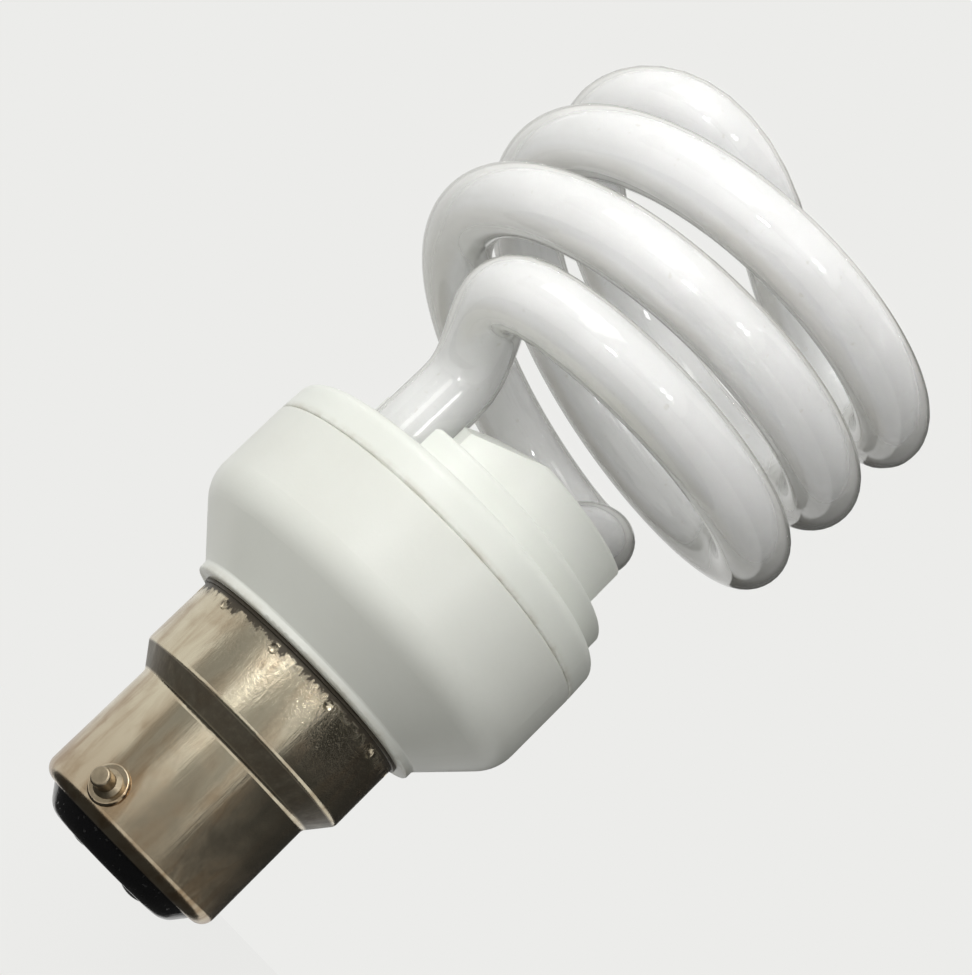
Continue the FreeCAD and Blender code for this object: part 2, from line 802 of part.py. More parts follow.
def make_choke_core(side):
    """One E half of the ferrite core, its three legs meeting the other half's."""
    bottom, top = choke_levels()
    half = core_length / 2
    body = Part.makeBox(half, core_width, core_depth, V(0, -core_width / 2, bottom))
    window_width = (core_width - 2 * core_side_leg - core_middle_leg) / 2
    for row in (1, -1):
        middle = row * (core_middle_leg + window_width) / 2
        window = Part.makeBox(half - core_back, window_width, core_depth + 2,
                              V(0, middle - window_width / 2, bottom - 1))
        body = body.cut(window)
    if side < 0:
        body.rotate(ORIGIN, UP, 180)
    body.translate(V(choke_x, choke_y, 0))
    return body


def bobbin_spans():
    """Inside and outside sizes of the bobbin's barrel, and its length in the core's windows."""
    inner_y = core_middle_leg / 2 + bobbin_gap
    inner_z = core_depth / 2 + bobbin_gap
    length = core_length - 2 * core_back - 2 * bobbin_gap
    return inner_y, inner_z, length


def make_choke_bobbin():
    """Barrel on the core's middle leg, with two flanges that stand on the board."""
    bottom, top = choke_levels()
    centre_z = (bottom + top) / 2
    inner_y, inner_z, length = bobbin_spans()
    window_width = (core_width - 2 * core_side_leg - core_middle_leg) / 2
    flange_y = core_middle_leg / 2 + window_width - bobbin_gap
    flange_bottom = bottom - bobbin_overhang
    barrel = Part.makeBox(length, 2 * (inner_y + bobbin_wall), 2 * (inner_z + bobbin_wall),
                          V(-length / 2, -inner_y - bobbin_wall, centre_z - inner_z - bobbin_wall))
    pieces = [barrel]
    for side in (1, -1):
        x = side * (length / 2 - bobbin_flange / 2) - bobbin_flange / 2
        pieces.append(Part.makeBox(bobbin_flange, 2 * flange_y, board_bottom - flange_bottom,
                                   V(x, -flange_y, flange_bottom)))
    bobbin = fused(pieces)
    bobbin = bobbin.cut(Part.makeBox(length + 2, 2 * inner_y, 2 * inner_z,
                                     V(-length / 2 - 1, -inner_y, centre_z - inner_z)))
    bobbin.translate(V(choke_x, choke_y, 0))
    pins = [lead(x, y, board_bottom - 1.0) for x, y in choke_leads()]
    return fused([bobbin] + pins)


def make_choke_winding():
    """Copper winding between the bobbin's flanges."""
    bottom, top = choke_levels()
    centre_z = (bottom + top) / 2
    inner_y, inner_z, length = bobbin_spans()
    window_width = (core_width - 2 * core_side_leg - core_middle_leg) / 2
    between = length - 2 * bobbin_flange - 2 * winding_gap
    hole_y = inner_y + bobbin_wall + winding_gap
    hole_z = inner_z + bobbin_wall + winding_gap
    outer_y = core_middle_leg / 2 + window_width - winding_inset
    outer_z = core_depth / 2 + bobbin_overhang - winding_inset
    outline = rounded_outline([(-outer_y, -outer_z, 1.2), (outer_y, -outer_z, 1.2),
                               (outer_y, outer_z, 1.2), (-outer_y, outer_z, 1.2)],
                              lambda a, b: V(-between / 2, a, b))
    winding = Part.Face(outline).extrude(V(between, 0, 0))
    hole = Part.makeBox(between + 2, 2 * hole_y, 2 * hole_z, V(-between / 2 - 1, -hole_y, -hole_z))
    winding = winding.cut(hole)
    winding.translate(V(choke_x, choke_y, centre_z))
    return winding


def bulk_leads():
    """Leads of the bulk capacitor, as (x, y) on the board."""
    return [(bulk_x, bulk_y + side * bulk_lead_spacing / 2) for side in (1, -1)]


def make_bulk_capacitor():
    """Electrolytic can hanging from the board, with the crimp groove over its seal."""
    top = board_bottom - bulk_stand
    bottom = top - bulk_length
    groove_top = top - bulk_groove_above_seal
    groove_mid = groove_top - bulk_groove_height / 2
    can = turned([(0, bottom, 0), (bulk_radius, bottom, bulk_end_round),
                  (bulk_radius, groove_top - bulk_groove_height, 0.2),
                  (bulk_radius - bulk_groove, groove_mid, 0.3),
                  (bulk_radius, groove_top, 0.2), (bulk_radius, top, 0.3), (0, top, 0)])
    can.translate(V(bulk_x, bulk_y, 0))
    return fused([can] + [lead(x, y, top - root_in) for x, y in bulk_leads()])


def ring_levels():
    """Heights of the ring core's faces: its windings touch the board."""
    top = board_bottom - ring_wire
    return top - ring_height, top


def make_ring_core():
    """Ferrite ring of the drive transformer."""
    bottom, top = ring_levels()
    ring = turned([(ring_inner_radius, bottom, 0.2), (ring_outer_radius, bottom, 0.2),
                   (ring_outer_radius, top, 0.2), (ring_inner_radius, top, 0.2)])
    ring.translate(V(ring_x, ring_y, 0))
    return ring


def make_ring_winding(i):
    """Band of turns round the ring's section."""
    bottom, top = ring_levels()
    gap = ring_gap
    outer = Part.Face(rounded_outline([
        (ring_inner_radius - ring_wire, bottom - ring_wire, 0.3),
        (ring_outer_radius + ring_wire, bottom - ring_wire, 0.3),
        (ring_outer_radius + ring_wire, top + ring_wire, 0.3),
        (ring_inner_radius - ring_wire, top + ring_wire, 0.3)], section))
    inner = Part.Face(rounded_outline([
        (ring_inner_radius - gap, bottom - gap, 0.2), (ring_outer_radius + gap, bottom - gap, 0.2),
        (ring_outer_radius + gap, top + gap, 0.2), (ring_inner_radius - gap, top + gap, 0.2)], section))
    band = outer.cut(inner).revolve(ORIGIN, UP, ring_winding_sweep)
    band.rotate(ORIGIN, UP, i * 360 / ring_winding_count)
    band.translate(V(ring_x, ring_y, 0))
    return band


def transistor_leads(place):
    """Three leads in line, turned with the body."""
    x, y, turn = place
    along = polar(1, turn)
    return [(x + along.x * k * transistor_lead_spacing, y + along.y * k * transistor_lead_spacing)
            for k in (-1, 0, 1)]


def make_transistor(place):
    """D-shaped moulded body on three leads."""
    x, y, turn = place
    top = board_bottom - transistor_stand
    body = upright(transistor_radius, 0, 0, top - transistor_height, top)
    flat = Part.makeBox(4 * transistor_radius, transistor_radius, transistor_height + 2,
                        V(-2 * transistor_radius, transistor_flat, top - transistor_height - 1))
    body = body.cut(flat)
    body.rotate(ORIGIN, UP, turn)
    body.translate(V(x, y, 0))
    return fused([body] + [lead(a, b, top - root_in) for a, b in transistor_leads(place)])


def film_leads(box):
    """Two leads of a film capacitor."""
    x, y, width, thickness, height, spacing = box
    return [(x + side * spacing / 2, y) for side in (1, -1)]


def make_film_capacitor(box):
    """Dipped film capacitor that sits on the board's underside."""
    x, y, width, thickness, height, spacing = box
    body = rounded_box(width, thickness, height, film_round, V(x, y, board_bottom - height))
    return fused([body] + [lead(a, b, board_bottom - root_in) for a, b in film_leads(box)])


def axial_part(radius, length, span, side):
    """Body lying along Y at the origin with its leads bent through 90 degrees to the board.

    side is 1 for a part on the upper face of the board and -1 for one on the underside.
    """
    face = board_top if side > 0 else board_bottom
    level = face + side * (axial_stand + radius)
    far = board_bottom - lead_tail if side > 0 else board_top + lead_tail
    body = Part.makeCylinder(radius, length, V(0, -length / 2, level), V(0, 1, 0))
    pieces = [body]
    for end in (1, -1):
        points = [V(0, end * (length / 2 - 0.3), level), V(0, end * span / 2, level),
                  V(0, end * span / 2, far)]
        pieces.append(lead_bend(points))
    return fused(pieces)


def lead_bend(points):
    """Lead of one right-angled bend with a small inside radius."""
    corner = points[1]
    back = (points[0] - corner).normalize()
    ahead = (points[2] - corner).normalize()
    start = corner + back * axial_lead_bend
    end = corner + ahead * axial_lead_bend
    middle = corner + (back + ahead) * (axial_lead_bend * (1 - math.sqrt(0.5)))
    path = Part.Wire([Part.LineSegment(points[0], start).toShape(), Part.Arc(start, middle, end).toShape(),
                      Part.LineSegment(end, points[2]).toShape()])
    profile = Part.Wire(Part.makeCircle(lead_radius, points[0], corner - points[0]))
    return path.makePipeShell([profile], True, False)


def diode_leads(angle):
    """Two leads of a diode that lies along the board's rim."""
    centre = polar(diode_circle_radius, angle)
    along = polar(1, angle + 90)
    return [(centre.x + side * along.x * diode_span / 2, centre.y + side * along.y * diode_span / 2)
            for side in (1, -1)]


def make_diode(angle):
    """Rectifier diode along the rim on the underside."""
    diode = axial_part(diode_radius, diode_length, diode_span, -1)
    diode.translate(V(diode_circle_radius, 0, 0))
    diode.rotate(ORIGIN, UP, angle)
    return diode


def make_resistor(x):
    """Small resistor on the upper face."""
    resistor = axial_part(resistor_radius, resistor_length, resistor_span, 1)
    resistor.translate(V(x, 0, 0))
    return resistor


def make_diac():
    """Glass trigger diode on the upper face."""
    diac = axial_part(diac_radius, diac_length, diac_span, 1)
    diac.translate(V(diac_x, 0, 0))
    return diac


def filter_leads():
    """Two leads of the filter choke."""
    return [(filter_x + side * filter_lead_spacing / 2, filter_y) for side in (1, -1)]


def make_filter_choke():
    """Drum choke in a shrunk sleeve, standing on the board's underside."""
    bottom = board_bottom - filter_length
    drum = turned([(0, bottom, 0), (filter_radius, bottom, filter_round),
                   (filter_radius, board_bottom, filter_round), (0, board_bottom, 0)])
    drum.translate(V(filter_x, filter_y, 0))
    return fused([drum] + [lead(x, y, board_bottom - root_in) for x, y in filter_leads()])


def make_live_wire():
    """Insulated wire from one contact up past the capacitor to the board."""
    x = contact_spacing / 2
    bottom = insulator_bottom + contact_thickness
    points = [V(x, 0, bottom), V(x, 0, supply_rise), V(live_board_x, live_board_y, live_turn_z),
              V(live_board_x, live_board_y, board_bottom)]
    return round_sweep(points, supply_wire_radius)


def fusible_top():
    """Upper end of the fusible resistor's sleeve."""
    return fusible_bottom + fusible_length


def make_neutral_lower_wire():
    """Insulated wire from the other contact to the fusible resistor."""
    x = -contact_spacing / 2
    bottom = insulator_bottom + contact_thickness
    return upright(supply_wire_radius, x, 0, bottom, fusible_bottom)


def make_fusible_resistor():
    """Fusible resistor in its shrunk sleeve, in line with the supply wire."""
    x = -contact_spacing / 2
    body = turned([(0, fusible_bottom, 0), (fusible_radius, fusible_bottom, fusible_round),
                   (fusible_radius, fusible_top(), fusible_round), (0, fusible_top(), 0)])
    body.translate(V(x, 0, 0))
    return body


def make_neutral_upper_wire():
    """Insulated wire from the fusible resistor under the choke to the board."""
    x = -contact_spacing / 2
    points = [V(x, 0, fusible_top()), V(x, 0, fusible_top() + fusible_wire_rise),
              V(neutral_board_x, neutral_board_y, neutral_turn_z),
              V(neutral_board_x, neutral_board_y, board_bottom)]
    return round_sweep(points, supply_wire_radius)


def make_circuit_board():
    """Round board with a hole for each lead and each wrap pin."""
    board = upright(board_radius, 0, 0, board_bottom, board_top)
    places = choke_leads() + bulk_leads() + filter_leads()
    places += film_leads(resonant_box) + film_leads(coupling_box)
    for place in transistor_places:
        places += transistor_leads(place)
    for angle in diode_angles:
        places += diode_leads(angle)
    for x in resistor_row:
        places += [(x, side * resistor_span / 2) for side in (1, -1)]
    places += [(diac_x, side * diac_span / 2) for side in (1, -1)]
    holes = [upright(lead_radius + lead_hole_gap, x, y, board_bottom - 1, board_top + 1)
             for x, y in places]
    for start, pin in tube_wire_ends():
        holes.append(upright(wrap_pin_radius + wrap_coil_gap, pin.x, pin.y, board_bottom - 1, board_top + 1))
    return board.cut(holes)


sides = (1, -1)
export("cap_shell", [make_cap_shell()])
export("cap_insulator", [make_cap_insulator()])
export("contact_plates", [make_contact_plate(side) for side in sides])
export("contact_solder", [make_contact_solder(side) for side in sides])
export("bayonet_pins", twice(make_bayonet_pin()))
export("lower_housing", [make_lower_housing()])
export("upper_housing", [make_upper_housing()])
export("spiral_tube", [make_spiral_tube()])
export("tube_cement", twice(make_tube_cement()))
export("tube_lead_wires", [make_tube_lead_wire(start, pin) for start, pin in tube_wire_ends()])
export("wrap_pins", [make_wrap_pin(pin) for start, pin in tube_wire_ends()])
export("circuit_board", [make_circuit_board()])
export("choke_core", [make_choke_core(side) for side in sides])
export("choke_bobbin", [make_choke_bobbin()])
export("choke_winding", [make_choke_winding()])
export("bulk_capacitor", [make_bulk_capacitor()])
export("drive_ring_core", [make_ring_core()])
export("drive_ring_windings", [make_ring_winding(i) for i in range(ring_winding_count)])
export("transistors", [make_transistor(place) for place in transistor_places])
export("resonant_capacitor", [make_film_capacitor(resonant_box)])
export("coupling_capacitor", [make_film_capacitor(coupling_box)])
export("rectifier_diodes", [make_diode(angle) for angle in diode_angles])
export("resistors", [make_resistor(x) for x in resistor_row])
export("diac", [make_diac()])
export("filter_choke", [make_filter_choke()])
export("live_wire", [make_live_wire()])
export("neutral_lower_wire", [make_neutral_lower_wire()])
export("fusible_resistor", [make_fusible_resistor()])
export("neutral_upper_wire", [make_neutral_upper_wire()])
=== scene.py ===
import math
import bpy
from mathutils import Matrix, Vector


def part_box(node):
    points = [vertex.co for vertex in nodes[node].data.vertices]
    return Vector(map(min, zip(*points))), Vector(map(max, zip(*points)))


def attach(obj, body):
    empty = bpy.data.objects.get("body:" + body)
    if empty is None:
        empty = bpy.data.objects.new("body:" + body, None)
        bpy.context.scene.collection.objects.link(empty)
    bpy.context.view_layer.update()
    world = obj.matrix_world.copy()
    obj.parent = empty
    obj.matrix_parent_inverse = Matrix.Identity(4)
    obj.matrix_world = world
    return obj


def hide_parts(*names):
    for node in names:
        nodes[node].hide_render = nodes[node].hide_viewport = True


bl_info = {
    "name": "Spiral Energy Saving Bulb",
    "version": (1, 0, 0),
    "blender": (4, 5, 0),
    "location": "3D View > Sidebar > Bulb",
    "description": "Glass spiral, finishes and studio for a spiral energy saving bulb",
    "category": "Object",
}

import bmesh
import bpy
from bpy.props import FloatProperty, FloatVectorProperty, IntProperty, PointerProperty
from mathutils import Matrix, Vector

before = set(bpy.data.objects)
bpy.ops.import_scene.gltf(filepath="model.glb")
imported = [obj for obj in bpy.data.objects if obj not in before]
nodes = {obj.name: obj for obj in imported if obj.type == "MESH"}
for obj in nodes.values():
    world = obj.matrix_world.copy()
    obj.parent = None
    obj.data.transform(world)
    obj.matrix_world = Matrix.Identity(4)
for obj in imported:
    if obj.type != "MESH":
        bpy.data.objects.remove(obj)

UP = Vector((0, 0, 1))
MM = 0.001
QUARTER = math.pi / 2

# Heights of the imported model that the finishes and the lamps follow, in millimetres
CAP_BOTTOM, CAP_TOP = (corner.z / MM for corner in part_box("cap_shell"))
BOWL_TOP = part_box("lower_housing")[1].z / MM
COVER_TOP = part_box("upper_housing")[1].z / MM

# Mesh: how near two corners are one, in metres, and how finely rounded forms are divided
TOUCHING = 1e-7
END_STEPS = 5
CARD_STEPS = 24
DISC_SIDES = 48

# Places of the colour sockets on a Mix node
MIX_FIRST, MIX_SECOND, MIX_RESULT = 6, 7, 2

# Colours in linear values, and the share of blue in the cards' grey
GLASS_TINT = (0.985, 0.988, 0.985)
FULL_MIRROR = (1.0, 1.0, 1.0)
BUBBLE_GREY = (0.05, 0.05, 0.05)
STUDIO_LIGHT = (1.0, 0.99, 0.97)
CARD_BLUE = 0.96

# Parts inside the housing: node, finish, colour on screen, roughness, grain in mm, and metallic
BALLAST_FINISHES = (
    ("circuit_board", "board_paper", (170, 136, 84), 0.6, 0.5, 0.0),
    ("choke_core", "core_ferrite", (58, 58, 60), 0.7, 0.3, 0.0),
    ("drive_ring_core", "ring_ferrite", (52, 54, 56), 0.7, 0.3, 0.0),
    ("choke_bobbin", "bobbin_plastic", (40, 40, 42), 0.5, 0.4, 0.0),
    ("bulk_capacitor", "capacitor_sleeve", (34, 44, 88), 0.3, 0.5, 0.0),
    ("transistors", "transistor_epoxy", (30, 30, 32), 0.6, 0.25, 0.0),
    ("resonant_capacitor", "red_dip", (156, 48, 36), 0.35, 0.6, 0.0),
    ("coupling_capacitor", "brown_dip", (124, 66, 34), 0.35, 0.6, 0.0),
    ("rectifier_diodes", "diode_epoxy", (28, 28, 30), 0.5, 0.25, 0.0),
    ("resistors", "resistor_lacquer", (206, 184, 142), 0.4, 0.3, 0.0),
    ("diac", "diac_glass", (70, 112, 168), 0.2, 0.3, 0.0),
    ("filter_choke", "choke_sleeve", (26, 26, 28), 0.4, 0.4, 0.0),
    ("live_wire", "red_insulation", (178, 36, 28), 0.45, 0.3, 0.0),
    ("neutral_lower_wire", "black_insulation", (28, 28, 28), 0.45, 0.3, 0.0),
    ("neutral_upper_wire", "black_lead", (28, 28, 28), 0.45, 0.3, 0.0),
    ("fusible_resistor", "glass_sleeve", (214, 208, 188), 0.7, 0.2, 0.0),
    ("tube_lead_wires", "tinned_wire", (186, 186, 188), 0.35, 0.2, 1.0),
    ("wrap_pins", "tinned_pin", (192, 188, 176), 0.35, 0.2, 1.0),
)

# Windings: node, finish, colour on screen, axis along which the turns lie, and wire in mm
WINDING_FINISHES = (
    ("choke_winding", "choke_wire", (184, 104, 58), "X", 0.2),
    ("drive_ring_windings", "ring_wire", (168, 52, 40), "Z", 0.4),
)


def linear(screen_colour):
    """Linear values of a colour given from 0 to 255 as it looks on screen, by the sRGB curve."""
    parts = [part / 255 for part in screen_colour]
    return [part / 12.92 if part <= 0.04045 else ((part + 0.055) / 1.055) ** 2.4 for part in parts]


def length(name, description, default):
    """A size given in millimetres, kept in metres."""
    return FloatProperty(name=name, description=description, default=default * MM, unit="LENGTH")


def turn(name, description, default):
    """An angle given in degrees, kept in radians."""
    return FloatProperty(name=name, description=description, default=math.radians(default),
                         unit="ROTATION")


def share(name, description, default):
    """A share from 0 to 1."""
    return FloatProperty(name=name, description=description, default=default, min=0, max=1,
                         subtype="FACTOR")


def count(name, description, default, least):
    """A whole number, with the least that it may be."""
    return IntProperty(name=name, description=description, default=default, min=least)


def watts(name, description, default):
    """The power of a lamp."""
    return FloatProperty(name=name, description=description, default=default, min=0, unit="POWER")


def lens_size(name, description, default):
    """A size inside the camera, given and kept in millimetres."""
    return FloatProperty(name=name, description=description, default=default, unit="CAMERA")


def colour(name, description, default):
    """A colour given as it looks on screen, kept in linear values."""
    return FloatVectorProperty(name=name, description=description, default=linear(default), size=3,
                               min=0, max=1, subtype="COLOR")


class BulbTubeSettings(bpy.types.PropertyGroup):
    """Sizes and colours of the glass spiral."""

    glass_radius: length("Glass Radius", "Outside radius of the glass tube", 3.8)
    coating_radius: length("Coating Radius", "Radius at which the white coating shows", 3.5)
    end_round: length("End Round", "Rounding of the closed ends of the legs", 1.4)
    leg_angle: turn("Leg Angle", "Where the first leg stands round the axis", 247)
    leg_circle: length("Leg Circle", "Distance of each leg from the axis", 12.4)
    leg_bottom: length("Leg Bottom", "Height of the closed end of each leg", 34.8)
    leg_top: length("Leg Top", "Height at which a leg starts to bend", 49.6)
    coil_radius: length("Coil Radius", "Radius of the coil's centre line", 22.7)
    coil_pitch: length("Coil Pitch", "Rise of a limb in one turn", 19.8)
    coil_start: turn("Coil Start", "Where the first limb joins the coil", 285.7)
    coil_start_height: length("Coil Start Height", "Height at which a limb joins the coil", 58.7)
    coil_sweep: turn("Coil Sweep", "How far a limb turns round the axis", 450)
    coil_lean: turn("Coil Lean", "How far the coil leans over", 4.6)
    coil_lean_angle: turn("Lean Direction", "Direction in which the coil leans", 27.3)
    coil_lean_pivot: length("Lean Pivot", "Height about which the coil leans", 54.6)
    elbow_rise: length("Elbow Rise", "How strongly the elbow leaves the leg upwards", 8.0)
    elbow_run: length("Elbow Run", "How strongly the elbow joins the coil", 15.0)
    crossing_angle: turn("Crossing Angle", "Direction of the run across the top", 76.5)
    crossing_height: length("Crossing Height", "Height of the run across the top", 89.0)
    crossing_lead: length("Crossing Lead", "How strongly the tube leaves the coil at the top", 8.7)
    crossing_run: length("Crossing Run", "How strongly the tube crosses the axis", 24.2)
    coil_points: count("Coil Points", "Stretches of curve along each limb's coil", 15, 6)
    steps: count("Steps", "Steps along each stretch of curve", 14, 4)
    facets: count("Facets", "Fineness of the tube's round section", 15, 3)
    coating_colour: colour("Coating", "White coating inside the glass", (251, 251, 253))
    # Painted shade underneath, and thinner coating in patches
    painted_shade_and_thin_coat: colour("Coating Shade", "Where the coating is thinner", (226, 224, 219))
    coating_roughness: share("Coating Roughness", "Roughness of the powder coating", 0.55)
    glow_share: share("Soaked Light", "Share of the light that soaks through the coated tube", 1.0)
    glow_reach: length("Light Reach", "How far the light soaks through the tube", 14.0)
    # Painted edge colours of the glass: a painted light band and painted dark edge lines, more
    # shaded facing down
    painted_glass_light: colour("Glass Body", "Light band of the glass beside the coating", (222, 222, 218))
    painted_upper_edge_line: colour("Upper Edge", "Outermost line of the glass, facing up", (176, 176, 170))
    painted_lower_edge_shade: colour("Lower Edge", "Outermost line of the glass, facing down", (168, 165, 155))
    glass_roughness: share("Glass Roughness", "Roughness of the glass's mirrored light", 0.05)


class BulbHousingSettings(bpy.types.PropertyGroup):
    """Colours and surface of the two moulded housings and the cement."""

    bowl_colour: colour("Bowl", "Plastic of the lower housing", (229, 231, 224))
    cover_colour: colour("Cover", "Plastic of the upper housing", (233, 236, 229))
    cement_colour: colour("Cement", "Cement round the legs of the tube", (226, 222, 208))
    soil_colour: colour("Soil", "Dust at the joints", (176, 168, 148))
    low_dust: length("Low Dust", "How far the dust reaches up from a housing's lower joint", 0.9)
    high_dust: length("High Dust", "How far the dust reaches down from a housing's top", 0.35)
    roughness: share("Roughness", "Roughness of the moulded surface", 0.3)
    grain: length("Grain", "Size of the mould's fine texture", 0.35)


class BulbCapSettings(bpy.types.PropertyGroup):
    """Colours and surface of the cap, its pins, insulator and contacts."""

    nickel_colour: colour("Nickel", "Plated shell", (214, 204, 180))
    tarnish_colour: colour("Tarnish", "Browner patches of the plating", (162, 140, 112))
    # Colour of the dirt and of the painted shadow under the lip
    dirt_and_shadow_colour: colour("Dirt", "Dark dirt under the lip and in the step", (52, 45, 35))
    pin_colour: colour("Pins", "Bayonet pins", (176, 162, 138))
    insulator_colour: colour("Insulator", "Black glass", (14, 14, 16))
    brass_colour: colour("Contacts", "Brass of the contacts", (196, 165, 104))
    solder_colour: colour("Solder", "Solder on the contacts", (186, 186, 184))
    roughness: share("Roughness", "Roughness of the plating", 0.15)
    step_middle: length("Step Middle", "Height of the middle of the step", 11.3)
    lip_dirt: length("Lip Dirt", "How far the dirt reaches down from the lip", 2.2)
    collar_reach: length("Collar Reach", "How far below the lip the collar's pitting ends", 9.5)
    # How far up from the rim the shell turns browner
    rim_browning: length("Rim Tarnish", "How far the tarnish reaches up from the rim", 15)


class BulbStudioSettings(bpy.types.PropertyGroup):
    """Floor, lights and camera."""

    floor_drop: length("Floor Drop", "Height of the floor", -45)
    floor_size: length("Floor Size", "Side of the floor", 6000)
    background: colour("Background", "Pale background", (236, 236, 234))
    floor_colour: colour("Floor", "Pale floor, as it is seen", (245, 245, 243))
    floor_bounce: colour("Floor Bounce", "Floor as it lights the bulb from below", (206, 206, 204))
    floor_dark: colour("Dark Side", "Floor on the darker side, as it lights the bulb",
                       (128, 128, 126))
    dark_start: length("Dark Start", "How far to the camera's right the floor starts to darken",
                       -60)
    dark_end: length("Dark End", "How far to the camera's right the floor is darkest", 90)
    shadow_share: share("Shadow Share", "How much of the floor's shading is seen", 0.14)
    light_turn: turn("Light Turn", "Brighter side of the studio, beside the camera", -50)
    light_rise: turn("Light Rise", "How high the brighter side lies", 20)
    bright_level: share("Bright Side", "Light from the brighter side", 0.84)
    dim_level: share("Dim Side", "Light from the other side", 0.24)
    lamp_distance: length("Lamp Distance", "Distance of the lamps from the bulb", 550)
    key_power: watts("Key Power", "Large soft lamp", 0.7)
    window_power: watts("Window Power", "Tall lamp at the left", 0.6)
    pane_power: watts("Pane Power", "Each narrow lamp at the right", 0.13)
    coil_power: watts("Coil Power", "Narrow beam that lifts the glass coil from below", 0.0032)
    coil_aim: length("Coil Aim", "Height that the narrow beam points at", 82)
    card_distance: length("Card Distance", "Distance of the cards that the metal mirrors", 900)
    ground_card: length("Ground Card", "Radius of the dark card under the bulb", 110)
    camera_turn: turn("Camera Turn", "Camera's direction round the axis", -62.7)
    camera_distance: length("Camera Distance", "Camera's distance from the axis", 194.6)
    camera_height: length("Camera Height", "Camera's height", 1.47)
    camera_tilt: turn("Camera Tilt", "How far the camera looks up", 13.2812)
    camera_pan: turn("Camera Pan", "How far the camera looks aside", -0.1318)
    camera_roll: turn("Camera Roll", "How far the camera is rolled over", 45.715)
    focal_length: lens_size("Focal Length", "Focal length of the lens", 72.11)
    sensor_width: lens_size("Sensor Width", "Width of the sensor", 36)


class Wire:
    """A socket of a finish, so that shader maths reads as an expression."""

    def __init__(self, finish, socket):
        self.finish = finish
        self.socket = socket

    def maths(self, operation, *values):
        """A Math node on these values or sockets."""
        return self.finish.node("ShaderNodeMath", {"operation": operation}, dict(enumerate(values)))

    def __add__(self, other):
        return self.maths("ADD", self, other)

    def __sub__(self, other):
        return self.maths("SUBTRACT", self, other)

    def __rsub__(self, other):
        return self.maths("SUBTRACT", other, self)

    def __mul__(self, other):
        return self.maths("MULTIPLY", self, other)

    def __pow__(self, other):
        return self.maths("POWER", self, other)

    def __abs__(self):
        return self.maths("ABSOLUTE", self)

    __radd__ = __add__
    __rmul__ = __mul__

    def sine(self):
        """Sine of an angle in radians."""
        return self.maths("SINE", self)

    def least(self, other):
        """The smaller of two values."""
        return self.maths("MINIMUM", self, other)

    def most(self, other):
        """The larger of two values."""
        return self.maths("MAXIMUM", self, other)

    def band(self, low, high, start=0.0, end=1.0):
        """Smooth change from start to end as the value goes from low to high."""
        return self.finish.node("ShaderNodeMapRange",
                                {"interpolation_type": "SMOOTHSTEP", "clamp": True},
                                dict(enumerate((self, low, high, start, end))))

    def fade(self, low, high):
        """Smooth fall from 1 to 0 as the value goes from low to high."""
        return self.band(low, high, 1.0, 0.0)


class Finish:
    """The nodes of a new material, or of a new world where its kind says so."""

    def __init__(self, name, kind="materials"):
        self.owner = getattr(bpy.data, kind).new(name)
        self.owner.use_nodes = True
        self.tree = self.owner.node_tree
        self.tree.nodes.clear()

    def node(self, kind, settings=None, inputs=None, out=0):
        """Add a node: its settings first, then the values or links of its sockets."""
        made = self.tree.nodes.new(kind)
        for name, value in (settings or {}).items():
            setattr(made, name, value)
        for name, value in (inputs or {}).items():
            if isinstance(value, Wire):
                self.tree.links.new(value.socket, made.inputs[name])
            else:
                made.inputs[name].default_value = value
        return None if out is None else Wire(self, made.outputs[out])

    def place(self):
        """Position on the piece in millimetres."""
        here = self.node("ShaderNodeTexCoord", out="Object")
        return self.node("ShaderNodeVectorMath", {"operation": "SCALE"}, {0: here, "Scale": 1 / MM})

    def rescaled(self, place, height):
        """Position whose height counts this many times, which squeezes or draws out a pattern."""
        return self.node("ShaderNodeVectorMath", {"operation": "MULTIPLY"},
                         {0: place, 1: (1.0, 1.0, height)})

    def part(self, vector, axis):
        """One part of a vector, by the letter of its axis."""
        return self.node("ShaderNodeSeparateXYZ", inputs={0: vector}, out=axis)

    def reach(self, vector, direction):
        """How far a vector reaches in a direction."""
        return self.node("ShaderNodeVectorMath", {"operation": "DOT_PRODUCT"},
                         {0: vector, 1: direction}, out="Value")

    def noise(self, vector, size, detail=3.0, roughness=0.5, distortion=0.0):
        """Noise whose lumps are about as large as size, in the vector's unit."""
        return self.node("ShaderNodeTexNoise",
                         inputs={"Vector": vector, "Scale": 1 / size, "Detail": detail,
                                 "Roughness": roughness, "Distortion": distortion})

    def mixed(self, factor, first, second):
        """A colour between two colours."""
        return self.node("ShaderNodeMix", {"data_type": "RGBA"},
                         {0: factor, MIX_FIRST: shade(first), MIX_SECOND: shade(second)},
                         out=MIX_RESULT)

    def bump(self, height, depth, strength):
        """Normal raised by a height from 0 to 1, worth depth in millimetres."""
        return self.node("ShaderNodeBump",
                         inputs={"Height": height, "Distance": depth * MM, "Strength": strength})

    def surface(self, base, **sockets):
        """Principled surface of a base colour, its other sockets named with _ for a space."""
        inputs = {name.replace("_", " "): value for name, value in sockets.items()}
        return self.node("ShaderNodeBsdfPrincipled", inputs={"Base Color": shade(base), **inputs})

    def glow(self, light):
        """Surface that gives plain light of a colour."""
        return self.node("ShaderNodeEmission", inputs={"Color": shade(light)})

    def sky(self, light, level):
        """Surroundings that give light of a colour at a level."""
        return self.node("ShaderNodeBackground", inputs={"Color": shade(light), "Strength": level})

    def blended(self, factor, first, second):
        """A shader between two shaders."""
        return self.node("ShaderNodeMixShader", inputs={0: factor, 1: first, 2: second})

    def done(self, shader, output="ShaderNodeOutputMaterial"):
        """Show a shader, and give the finished material or world."""
        self.node(output, inputs={"Surface": shader}, out=None)
        return self.owner


def shade(value):
    """A colour as a socket's four values, and a link as it is."""
    return value if isinstance(value, Wire) else (*value, 1.0)


def dimmed(base_colour, left):
    """A colour with this share of its light left."""
    return [part * left for part in base_colour]


